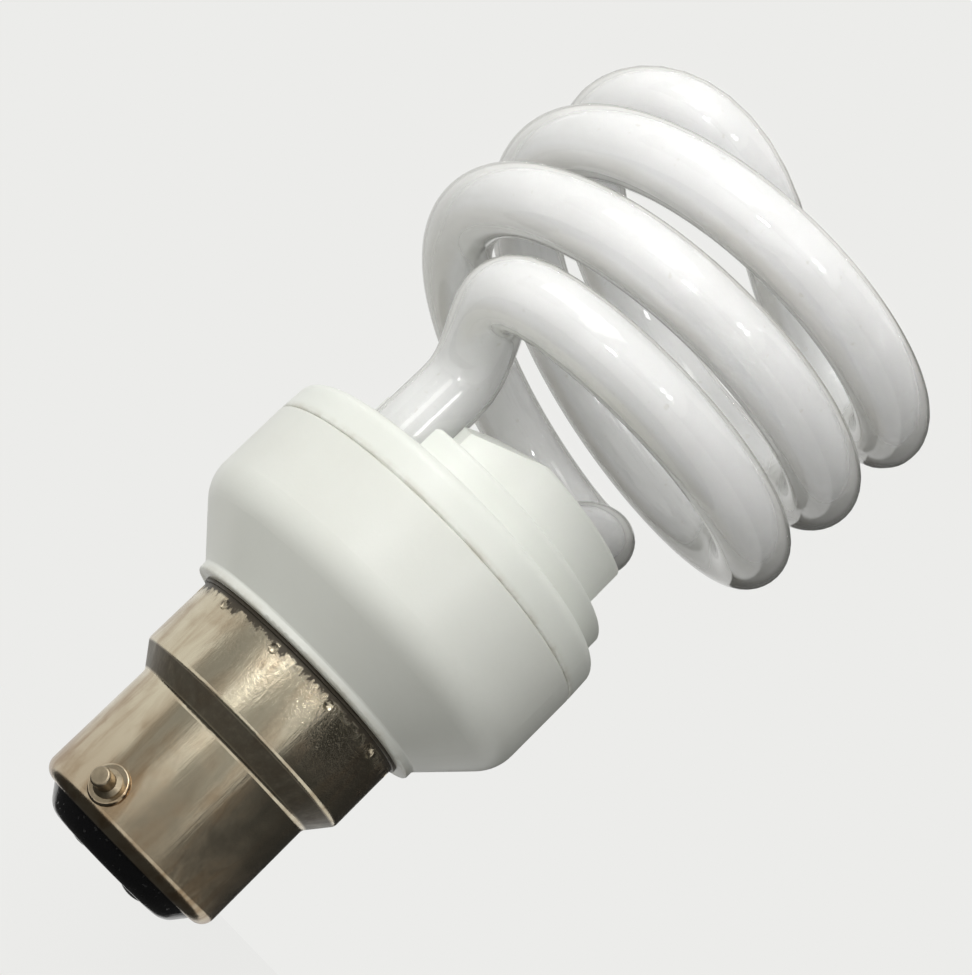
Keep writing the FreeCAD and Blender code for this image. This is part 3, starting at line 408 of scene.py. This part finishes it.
def underside(finish):
    """1 within 16 degrees of facing the ground, falling to 0 at 41 degrees from it; used to paint
    shade on surfaces that face the ground.
    """
    upward = finish.part(finish.node("ShaderNodeTexCoord", out="Normal"), "Z")
    return upward.fade(-0.96, -0.76)


def coating_finish(tube):
    """White powder coating with painted shade underneath, thinner in patches, and with a few
    specks.
    """
    finish = Finish("white_coating")
    place = finish.place()
    patches = finish.noise(place, size=14.0, detail=2.0).band(0.4, 0.7)
    specks = finish.noise(place, size=1.1, detail=1.0).band(0.72, 0.78)
    # Painted shade on the underside, with thinner coating in patches and a few specks
    painted_shade_and_thinning = (underside(finish) * 0.75 + patches * 0.3 + specks * 0.4).least(1.0)
    base = finish.mixed(painted_shade_and_thinning, tube.coating_colour, tube.painted_shade_and_thin_coat)
    return finish.done(finish.surface(base, Roughness=tube.coating_roughness,
                                      Subsurface_Weight=tube.glow_share,
                                      Subsurface_Radius=(1.0, 1.0, 1.0),
                                      Subsurface_Scale=tube.glow_reach))


def glass_finish(tube):
    """Clear glass: seen through face on, mirror-like where it is seen edge on, and there partly
    covered by painted edge colours: a painted light band and painted dark lines, with more painted
    shade underneath.
    """
    finish = Finish("clear_glass")
    place = finish.place()
    waves = finish.noise(place, size=6.0, detail=2.0)
    flat = finish.rescaled(place, height=4.0)
    scratches = finish.noise(flat, size=0.7, detail=2.0).band(0.66, 0.7)
    normal = finish.bump(waves + scratches * 0.1, depth=0.05, strength=0.5)
    edge_on = finish.node("ShaderNodeLayerWeight", inputs={"Blend": 0.5}, out="Facing")
    clear = finish.node("ShaderNodeBsdfTransparent", inputs={"Color": shade(GLASS_TINT)})
    mirror = finish.surface(FULL_MIRROR, Metallic=1.0, Roughness=tube.glass_roughness,
                            Normal=normal)
    # Glass mirrors a little face on, and nearly everything edge on
    glossy = finish.blended(edge_on ** 5.0 * 0.9 + 0.045, clear, mirror)
    # Painted dark edge lines, with more painted shade where the glass faces the ground
    line = finish.mixed(underside(finish), tube.painted_upper_edge_line, tube.painted_lower_edge_shade)
    # Painted light band beside the coating, turning into the painted dark lines at the very edge
    body = finish.mixed(edge_on.band(0.72, 0.84), tube.painted_glass_light, line)
    edge = finish.surface(body, Roughness=0.1)
    # Near its silhouette the glass is partly covered by the painted edge colours
    return finish.done(finish.blended(edge_on.band(0.5, 0.68) * 0.65, glossy, edge))


def housing_finish(name, base_colour, housing, low, high):
    """Moulded plastic with a fine texture, and dust at its lower joint and its top."""
    finish = Finish(name)
    place = finish.place()
    z = finish.part(place, "Z")
    cloud = finish.noise(place, size=9.0).band(0.35, 0.75)
    dust = finish.noise(place, size=2.2, detail=5.0, roughness=0.65).band(0.3, 0.7)
    at_low = z.fade(low, low + housing.low_dust / MM)
    at_high = z.band(high - housing.high_dust / MM, high)
    soil = at_low.most(at_high * 0.4) * dust * 0.5 + cloud * 0.05
    fine = finish.noise(place, size=housing.grain / MM, detail=4.0, roughness=0.6)
    flow = finish.noise(finish.rescaled(place, height=0.3), size=3.0, detail=2.0)
    normal = finish.bump(fine * 0.5 + flow, depth=0.03, strength=0.5)
    rough = cloud * 0.06 + fine * 0.05 + housing.roughness
    base = finish.mixed(soil, base_colour, housing.soil_colour)
    return finish.done(finish.surface(base, Roughness=rough, Normal=normal))


def plating_finish(cap):
    """Nickel plating drawn along the axis, streaked with tarnish, browner towards the rim, dirty
    under the lip and in the step, with a painted shadow just under the lip.
    """
    finish = Finish("nickel_plating")
    place = finish.place()
    z = finish.part(place, "Z")
    drawn = finish.noise(finish.rescaled(place, height=0.07), size=0.35, detail=4.0, roughness=0.6)
    streaks = finish.noise(finish.rescaled(place, height=0.22), size=2.6, roughness=0.55,
                           distortion=0.6)
    patches = finish.noise(place, size=4.5, detail=4.0, roughness=0.6)
    pits = finish.noise(place, size=0.3, roughness=0.7)
    ragged = finish.noise(finish.rescaled(place, height=0.5), size=1.0, detail=6.0, roughness=0.7)

    # Millimetres from the lip, the step and the rim
    below_lip = CAP_TOP - z
    from_step = abs(z - cap.step_middle / MM)
    above_rim = z - CAP_BOTTOM

    collar = below_lip.fade(2.0, cap.collar_reach / MM)
    under_lip = below_lip.fade(0.4, cap.lip_dirt / MM) * ragged.band(0.42, 0.6)
    # Painted shadow just under the lip, with a ragged lower edge
    painted_lip_shadow = below_lip.fade(0.6, 0.9).most((ragged * 5.0 - below_lip).band(1.5, 1.7))
    in_step = from_step.fade(0.9, 1.2) * ragged.band(0.0, 0.6, 0.7, 1.0)
    # Browner towards the rim
    at_rim = above_rim.fade(0.0, cap.rim_browning / MM)

    # Dirt under the lip and in the step, together with the painted shadow under the lip
    dirt_and_painted_shadow = under_lip.most(painted_lip_shadow).most(in_step * 0.9)
    brown = streaks.band(0.42, 0.68) * 0.5 + patches.band(0.45, 0.75) * 0.35 + at_rim * 0.5
    base = finish.mixed(brown.least(1.0), cap.nickel_colour, cap.tarnish_colour)
    base = finish.mixed(dirt_and_painted_shadow * 0.92, base, cap.dirt_and_shadow_colour)
    dull = streaks.band(0.3, 0.8) * 0.08 + patches.band(0.4, 0.7) * 0.06 + dirt_and_painted_shadow * 0.25
    pitting = pits * (collar * 0.45 + 0.03) + ragged * (collar * 0.7 + 0.1)
    normal = finish.bump(drawn * 0.35 + pitting + streaks * 0.6, depth=0.08, strength=0.6)
    return finish.done(finish.surface(base, Metallic=1.0 - dirt_and_painted_shadow * 0.6,
                                      Roughness=dull + cap.roughness, Normal=normal))


def metal_finish(name, base_colour, roughness, grain):
    """Plain metal with a fine grain in millimetres and a little variation."""
    finish = Finish(name)
    place = finish.place()
    patches = finish.noise(place, size=4 * grain).band(0.4, 0.75)
    fine = finish.noise(place, size=grain, roughness=0.65)
    base = finish.mixed(patches * 0.6, base_colour, dimmed(base_colour, 0.55))
    normal = finish.bump(fine, depth=0.03, strength=0.5)
    return finish.done(finish.surface(base, Metallic=1.0, Roughness=fine * 0.2 + roughness,
                                      Normal=normal))


def insulator_finish(cap):
    """Black glass with shallow waves and small bubbles."""
    finish = Finish("black_glass")
    place = finish.place()
    waves = finish.noise(place, size=2.4, detail=2.0)
    bubbles = finish.noise(place, size=0.55, detail=1.0).band(0.68, 0.74)
    base = finish.mixed(bubbles * 0.4, cap.insulator_colour, BUBBLE_GREY)
    normal = finish.bump(waves - bubbles * 0.6, depth=0.1, strength=0.5)
    return finish.done(finish.surface(base, Roughness=waves * 0.12 + bubbles * 0.2 + 0.1,
                                      Normal=normal))


def moulded_finish(name, base_colour, roughness, grain, metallic=0.0):
    """Plain part: a colour with a fine grain in millimetres, broken by soft patches."""
    finish = Finish(name)
    place = finish.place()
    patches = finish.noise(place, size=8 * grain, detail=2.0).band(0.4, 0.7)
    fine = finish.noise(place, size=grain, roughness=0.6)
    base = finish.mixed(patches * 0.5 + fine * 0.2, base_colour, dimmed(base_colour, 0.7))
    normal = finish.bump(fine, depth=0.03, strength=0.5)
    return finish.done(finish.surface(base, Metallic=metallic, Roughness=fine * 0.15 + roughness,
                                      Normal=normal))


def winding_finish(name, base_colour, axis, wire):
    """Enamelled wire of this thickness in millimetres, laid in turns along an axis, with painted
    shade in the grooves between the turns.
    """
    finish = Finish(name)
    along = finish.part(finish.place(), axis)
    turns = abs((along * (math.pi / wire)).sine())
    # Painted shade in the grooves between the turns
    base = finish.mixed(turns.fade(0.0, 0.5), base_colour, dimmed(base_colour, 0.35))
    normal = finish.bump(turns, depth=0.1, strength=0.8)
    return finish.done(finish.surface(base, Metallic=0.6, Roughness=turns * -0.1 + 0.38,
                                      Normal=normal))


def dress(node, material):
    """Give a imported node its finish."""
    piece = nodes[node]
    piece.data.materials.clear()
    piece.data.materials.append(material)


def added(name, data):
    """New object of this data, in the scene."""
    made = bpy.data.objects.new(name, data)
    bpy.context.scene.collection.objects.link(made)
    return made


def added_shape(name, shape):
    """New object of a finished shape, in the scene."""
    mesh = bpy.data.meshes.new(name)
    shape.to_mesh(mesh)
    shape.free()
    return added(name, mesh)


def polar(radius, angle, height):
    """Point at a radius and an angle round the axis."""
    return Vector((radius * math.cos(angle), radius * math.sin(angle), height))


def leaned(tube, point):
    """A point of the coil, tipped over as the whole coil is."""
    axis = polar(1, tube.coil_lean_angle + QUARTER, 0)
    pivot = UP * tube.coil_lean_pivot
    return Matrix.Rotation(tube.coil_lean, 3, axis) @ (point - pivot) + pivot


def coil_point(tube, along, limb):
    """Point of a limb's helix and the way it heads, at an angle along it."""
    angle = tube.coil_start + along + math.pi * limb
    rise = tube.coil_pitch / (2 * math.pi)
    point = polar(tube.coil_radius, angle, tube.coil_start_height + rise * along)
    ahead = polar(tube.coil_radius, angle + QUARTER, rise)
    return leaned(tube, point), leaned(tube, point + ahead) - leaned(tube, point)


def limb_points(tube, limb):
    """Points of a limb with their handles, from its foot to the end of its helix."""
    angle = tube.leg_angle + math.pi * limb
    foot = polar(tube.leg_circle, angle, tube.leg_bottom)
    knee = polar(tube.leg_circle, angle, tube.leg_top)
    third = (knee - foot) / 3
    points = [(foot - third, foot, foot + third), (knee - third, knee, knee + UP * tube.elbow_rise)]
    last = tube.coil_points
    step = tube.coil_sweep / last
    # Handles of this share of the radius keep each stretch round
    reach = 4 / 3 * math.tan(step / 4)
    for i in range(last + 1):
        point, ahead = coil_point(tube, i * step, limb)
        back = ahead.normalized() * tube.elbow_run if i == 0 else ahead * reach
        forward = ahead.normalized() * tube.crossing_lead if i == last else ahead * reach
        points.append((point - back, point, point + forward))
    return points


def tube_points(tube):
    """Points of the whole tube: up one limb, across the top, and down the other."""
    up = limb_points(tube, 0)
    down = [(after, point, before) for before, point, after in reversed(limb_points(tube, 1))]
    middle = leaned(tube, UP * tube.crossing_height)
    ends = [leaned(tube, polar(tube.crossing_run, angle, tube.crossing_height))
            for angle in (tube.crossing_angle, tube.crossing_angle + math.pi)]
    return up + [(ends[0], middle, ends[1])] + down


def make_tube(name, tube, radius):
    """Closed round tube along the whole path, as a mesh."""
    curve = bpy.data.curves.new(name, "CURVE")
    curve.dimensions = "3D"
    curve.bevel_depth = radius
    curve.bevel_resolution = tube.facets
    curve.use_fill_caps = True
    curve.resolution_u = tube.steps
    spline = curve.splines.new("BEZIER")
    points = tube_points(tube)
    spline.bezier_points.add(len(points) - 1)
    for made, (before, point, after) in zip(spline.bezier_points, points):
        made.handle_left_type = made.handle_right_type = "FREE"
        made.handle_left, made.co, made.handle_right = before, point, after
    drawn = bpy.data.objects.new(name, curve)
    mesh = bpy.data.meshes.new_from_object(drawn)
    bpy.data.objects.remove(drawn)
    bpy.data.curves.remove(curve)

    shape = bmesh.new()
    shape.from_mesh(mesh)
    bmesh.ops.remove_doubles(shape, verts=shape.verts, dist=TOUCHING)
    # Only the flat ends have more than four corners
    flat_ends = [face for face in shape.faces if len(face.verts) > 4]
    rims = {edge for end in flat_ends for edge in end.edges}
    bmesh.ops.bevel(shape, geom=list(rims), offset=tube.end_round, offset_type="OFFSET",
                    segments=END_STEPS, profile=0.5, affect="EDGES", material=-1)
    bmesh.ops.recalc_face_normals(shape, faces=shape.faces)
    for face in shape.faces:
        face.smooth = True
    shape.to_mesh(mesh)
    shape.free()
    mesh.name = name
    return added(name, mesh)


class BULB_OT_spiral(bpy.types.Operator):
    """Make the clear glass tube and the white coating inside it"""

    bl_idname = "bulb.spiral"
    bl_label = "Glass Spiral"

    def execute(self, context):
        tube = context.scene.bulb_tube
        if tube.coating_radius >= tube.glass_radius:
            raise ValueError("the coating has to lie inside the glass")
        glass = make_tube("glass_tube", tube, tube.glass_radius)
        coating = make_tube("tube_coating", tube, tube.coating_radius)
        glass.data.materials.append(glass_finish(tube))
        coating.data.materials.append(coating_finish(tube))
        for piece in (glass, coating):
            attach(piece, "root")
            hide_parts("spiral_tube")
        return {"FINISHED"}


class BULB_OT_housing(bpy.types.Operator):
    """Finish the two moulded housings and the cement round the legs"""

    bl_idname = "bulb.housing"
    bl_label = "Housings"

    def execute(self, context):
        housing = context.scene.bulb_housing
        dress("lower_housing",
              housing_finish("bowl_plastic", housing.bowl_colour, housing, CAP_TOP, BOWL_TOP))
        dress("upper_housing",
              housing_finish("cover_plastic", housing.cover_colour, housing, BOWL_TOP, COVER_TOP))
        dress("tube_cement",
              moulded_finish("white_cement", housing.cement_colour, roughness=0.8, grain=0.4))
        return {"FINISHED"}


class BULB_OT_cap(bpy.types.Operator):
    """Finish the plated shell, the pins, the insulator and the contacts"""

    bl_idname = "bulb.cap"
    bl_label = "Bayonet Cap"

    def execute(self, context):
        cap = context.scene.bulb_cap
        dress("cap_shell", plating_finish(cap))
        dress("bayonet_pins", metal_finish("pin_metal", cap.pin_colour, roughness=0.3, grain=0.25))
        dress("cap_insulator", insulator_finish(cap))
        dress("contact_plates",
              metal_finish("contact_brass", cap.brass_colour, roughness=0.25, grain=0.3))
        dress("contact_solder", metal_finish("solder", cap.solder_colour, roughness=0.3, grain=0.4))
        return {"FINISHED"}


class BULB_OT_ballast(bpy.types.Operator):
    """Finish the circuit board, its parts and the wires inside the housing"""

    bl_idname = "bulb.ballast"
    bl_label = "Ballast Parts"

    def execute(self, context):
        for node, name, screen_colour, roughness, grain, metallic in BALLAST_FINISHES:
            dress(node, moulded_finish(name, linear(screen_colour), roughness, grain, metallic))
        for node, name, screen_colour, axis, wire in WINDING_FINISHES:
            dress(node, winding_finish(name, linear(screen_colour), axis, wire))
        return {"FINISHED"}


def seen_directly(finish):
    """1 for rays from the camera, mirrors and glass, and 0 for rays that light a surface."""
    camera, mirror, glass = (finish.node("ShaderNodeLightPath", out=f"Is {kind} Ray")
                             for kind in ("Camera", "Glossy", "Transmission"))
    return camera.most(mirror).most(glass)


def make_floor(studio):
    """Pale floor that keeps the bulb's shadow, and lights the bulb less from the camera's right."""
    shape = bmesh.new()
    bmesh.ops.create_grid(shape, x_segments=1, y_segments=1, size=studio.floor_size / 2,
                          matrix=Matrix.Translation(UP * studio.floor_drop))
    floor = added_shape("floor", shape)
    finish = Finish("pale_floor")
    aside = finish.reach(finish.place(), polar(1, studio.camera_turn + QUARTER, 0))
    darkness = aside.band(studio.dark_start / MM, studio.dark_end / MM)
    bounce = finish.mixed(darkness, studio.floor_bounce, studio.floor_dark)
    plain = seen_directly(finish) * (1 - studio.shadow_share)
    shown = finish.blended(plain, finish.surface(bounce, Roughness=0.9),
                           finish.glow(studio.floor_colour))
    floor.data.materials.append(finish.done(shown))


def make_world(studio):
    """Light that is stronger from one side, and a plain pale background where it is seen."""
    finish = Finish("studio", "worlds")
    sight = finish.node("ShaderNodeTexCoord", out="Generated")
    bright_side = polar(math.cos(studio.light_rise), studio.camera_turn + studio.light_turn,
                        math.sin(studio.light_rise))
    # From 127 degrees away from the bright side to straight at it
    level = finish.reach(sight, bright_side).band(-0.6, 1.0, studio.dim_level, studio.bright_level)
    shown = finish.blended(seen_directly(finish), finish.sky(STUDIO_LIGHT, level),
                           finish.sky(studio.background, 1.0))
    bpy.context.scene.world = finish.done(shown, "ShaderNodeOutputWorld")


def make_lamp(studio, name, aside, height, size, power, aim=COVER_TOP * MM, beam=180):
    """Lamp of a size in metres, so many degrees beside the camera and up, aimed at a height."""
    data = bpy.data.lights.new(name, "AREA")
    data.shape = "RECTANGLE"
    data.size, data.size_y = size
    data.energy = power
    data.spread = math.radians(beam)
    lamp = added(name, data)
    rise = math.radians(height)
    away = polar(math.cos(rise), studio.camera_turn + math.radians(aside), math.sin(rise))
    lamp.location = UP * aim + away * studio.lamp_distance
    lamp.rotation_mode = "QUATERNION"
    lamp.rotation_quaternion = away.to_track_quat("Z", "Y")


def reflected_only(name, shape, level):
    """Stage piece of one plain brightness that shows in reflections and nowhere else."""
    card = added_shape(name, shape)
    card.visible_camera = card.visible_diffuse = False
    card.visible_transmission = card.visible_shadow = False
    finish = Finish(name)
    card.data.materials.append(finish.done(finish.glow((level, level, level * CARD_BLUE))))


def make_card(studio, name, start, end, low, high, level):
    """Curved card between two angles beside the camera and two heights, all in degrees."""
    shape = bmesh.new()
    reach = studio.card_distance
    side = studio.camera_turn + math.radians(start)
    ends = [shape.verts.new(polar(reach, side, reach * math.tan(math.radians(rise))))
            for rise in (low, high)]
    bmesh.ops.spin(shape, geom=[*ends, shape.edges.new(ends)], axis=UP,
                   angle=math.radians(end - start), steps=CARD_STEPS)
    reflected_only(name, shape, level)


def make_ground_card(studio, level):
    """Dark disc just above the floor under the bulb."""
    shape = bmesh.new()
    bmesh.ops.create_circle(shape, cap_ends=True, segments=DISC_SIDES, radius=studio.ground_card,
                            matrix=Matrix.Translation(UP * (studio.floor_drop + MM)))
    reflected_only("ground_card", shape, level)


def make_camera(studio):
    """Camera where the photograph was taken from, rolled over as it was."""
    data = bpy.data.cameras.new("camera")
    data.lens = studio.focal_length
    data.sensor_width = studio.sensor_width
    data.clip_start = 5 * MM
    camera = added("camera", data)
    inward = Matrix.Rotation(studio.camera_turn + QUARTER, 3, "Z")
    tilt, pan, roll = studio.camera_tilt, studio.camera_pan, studio.camera_roll
    ahead = inward @ Vector((math.sin(pan) * math.cos(tilt), math.cos(pan) * math.cos(tilt),
                             math.sin(tilt)))
    right = inward @ Vector((math.cos(pan), -math.sin(pan), 0))
    above = right.cross(ahead)
    across = right * math.cos(roll) + above * math.sin(roll)
    upward = above * math.cos(roll) - right * math.sin(roll)
    axes = Matrix((across, upward, -ahead)).transposed()
    place = polar(studio.camera_distance, studio.camera_turn, studio.camera_height)
    camera.matrix_world = Matrix.Translation(place) @ axes.to_4x4()
    bpy.context.scene.camera = camera


class BULB_OT_studio(bpy.types.Operator):
    """Make the floor, the background, the lamps and the camera"""

    bl_idname = "bulb.studio"
    bl_label = "Studio"

    def execute(self, context):
        studio = context.scene.bulb_studio
        make_floor(studio)
        make_world(studio)
        make_lamp(studio, "key_lamp", aside=-34, height=30, size=(0.42, 0.3),
                  power=studio.key_power)
        make_lamp(studio, "window_lamp", aside=-22, height=26, size=(0.12, 0.46),
                  power=studio.window_power)
        for name, aside in (("left_pane", 19), ("right_pane", 23)):
            make_lamp(studio, name, aside, height=14, size=(0.02, 0.09), power=studio.pane_power)
        make_lamp(studio, "coil_lamp", aside=-6, height=-8, size=(0.05, 0.05),
                  power=studio.coil_power, aim=studio.coil_aim, beam=10)
        make_card(studio, "left_card", start=-72, end=-36, low=-22, high=30, level=0.3)
        make_card(studio, "low_card", start=-32, end=33, low=-22, high=0.5, level=0.06)
        make_card(studio, "front_card", start=-14, end=24, low=0.5, high=12, level=0.38)
        make_card(studio, "right_card", start=33, end=168, low=-22, high=55, level=0.03)
        make_ground_card(studio, level=0.05)
        make_camera(studio)
        context.scene.view_settings.view_transform = "Standard"
        return {"FINISHED"}


class BULB_PT_panel(bpy.types.Panel):
    """Buttons that make each group of the bulb"""

    bl_idname = "BULB_PT_panel"
    bl_label = "Spiral Bulb"
    bl_space_type = "VIEW_3D"
    bl_region_type = "UI"
    bl_category = "Bulb"

    def draw(self, context):
        column = self.layout.column()
        for operator in OPERATORS:
            column.operator(operator.bl_idname)


OPERATORS = (BULB_OT_spiral, BULB_OT_housing, BULB_OT_cap, BULB_OT_ballast, BULB_OT_studio)
SETTINGS = {"bulb_tube": BulbTubeSettings, "bulb_housing": BulbHousingSettings,
            "bulb_cap": BulbCapSettings, "bulb_studio": BulbStudioSettings}


def register():
    for group in (*SETTINGS.values(), *OPERATORS, BULB_PT_panel):
        bpy.utils.register_class(group)
    for name, group in SETTINGS.items():
        setattr(bpy.types.Scene, name, PointerProperty(type=group))


def unregister():
    for name in SETTINGS:
        delattr(bpy.types.Scene, name)
    for group in (BULB_PT_panel, *reversed(OPERATORS), *reversed(SETTINGS.values())):
        bpy.utils.unregister_class(group)


def main():
    """Build the whole bulb."""
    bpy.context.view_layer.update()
    register()
    bpy.ops.bulb.spiral()
    bpy.ops.bulb.housing()
    bpy.ops.bulb.cap()
    bpy.ops.bulb.ballast()
    bpy.ops.bulb.studio()


if __name__ == "__main__":
    main()
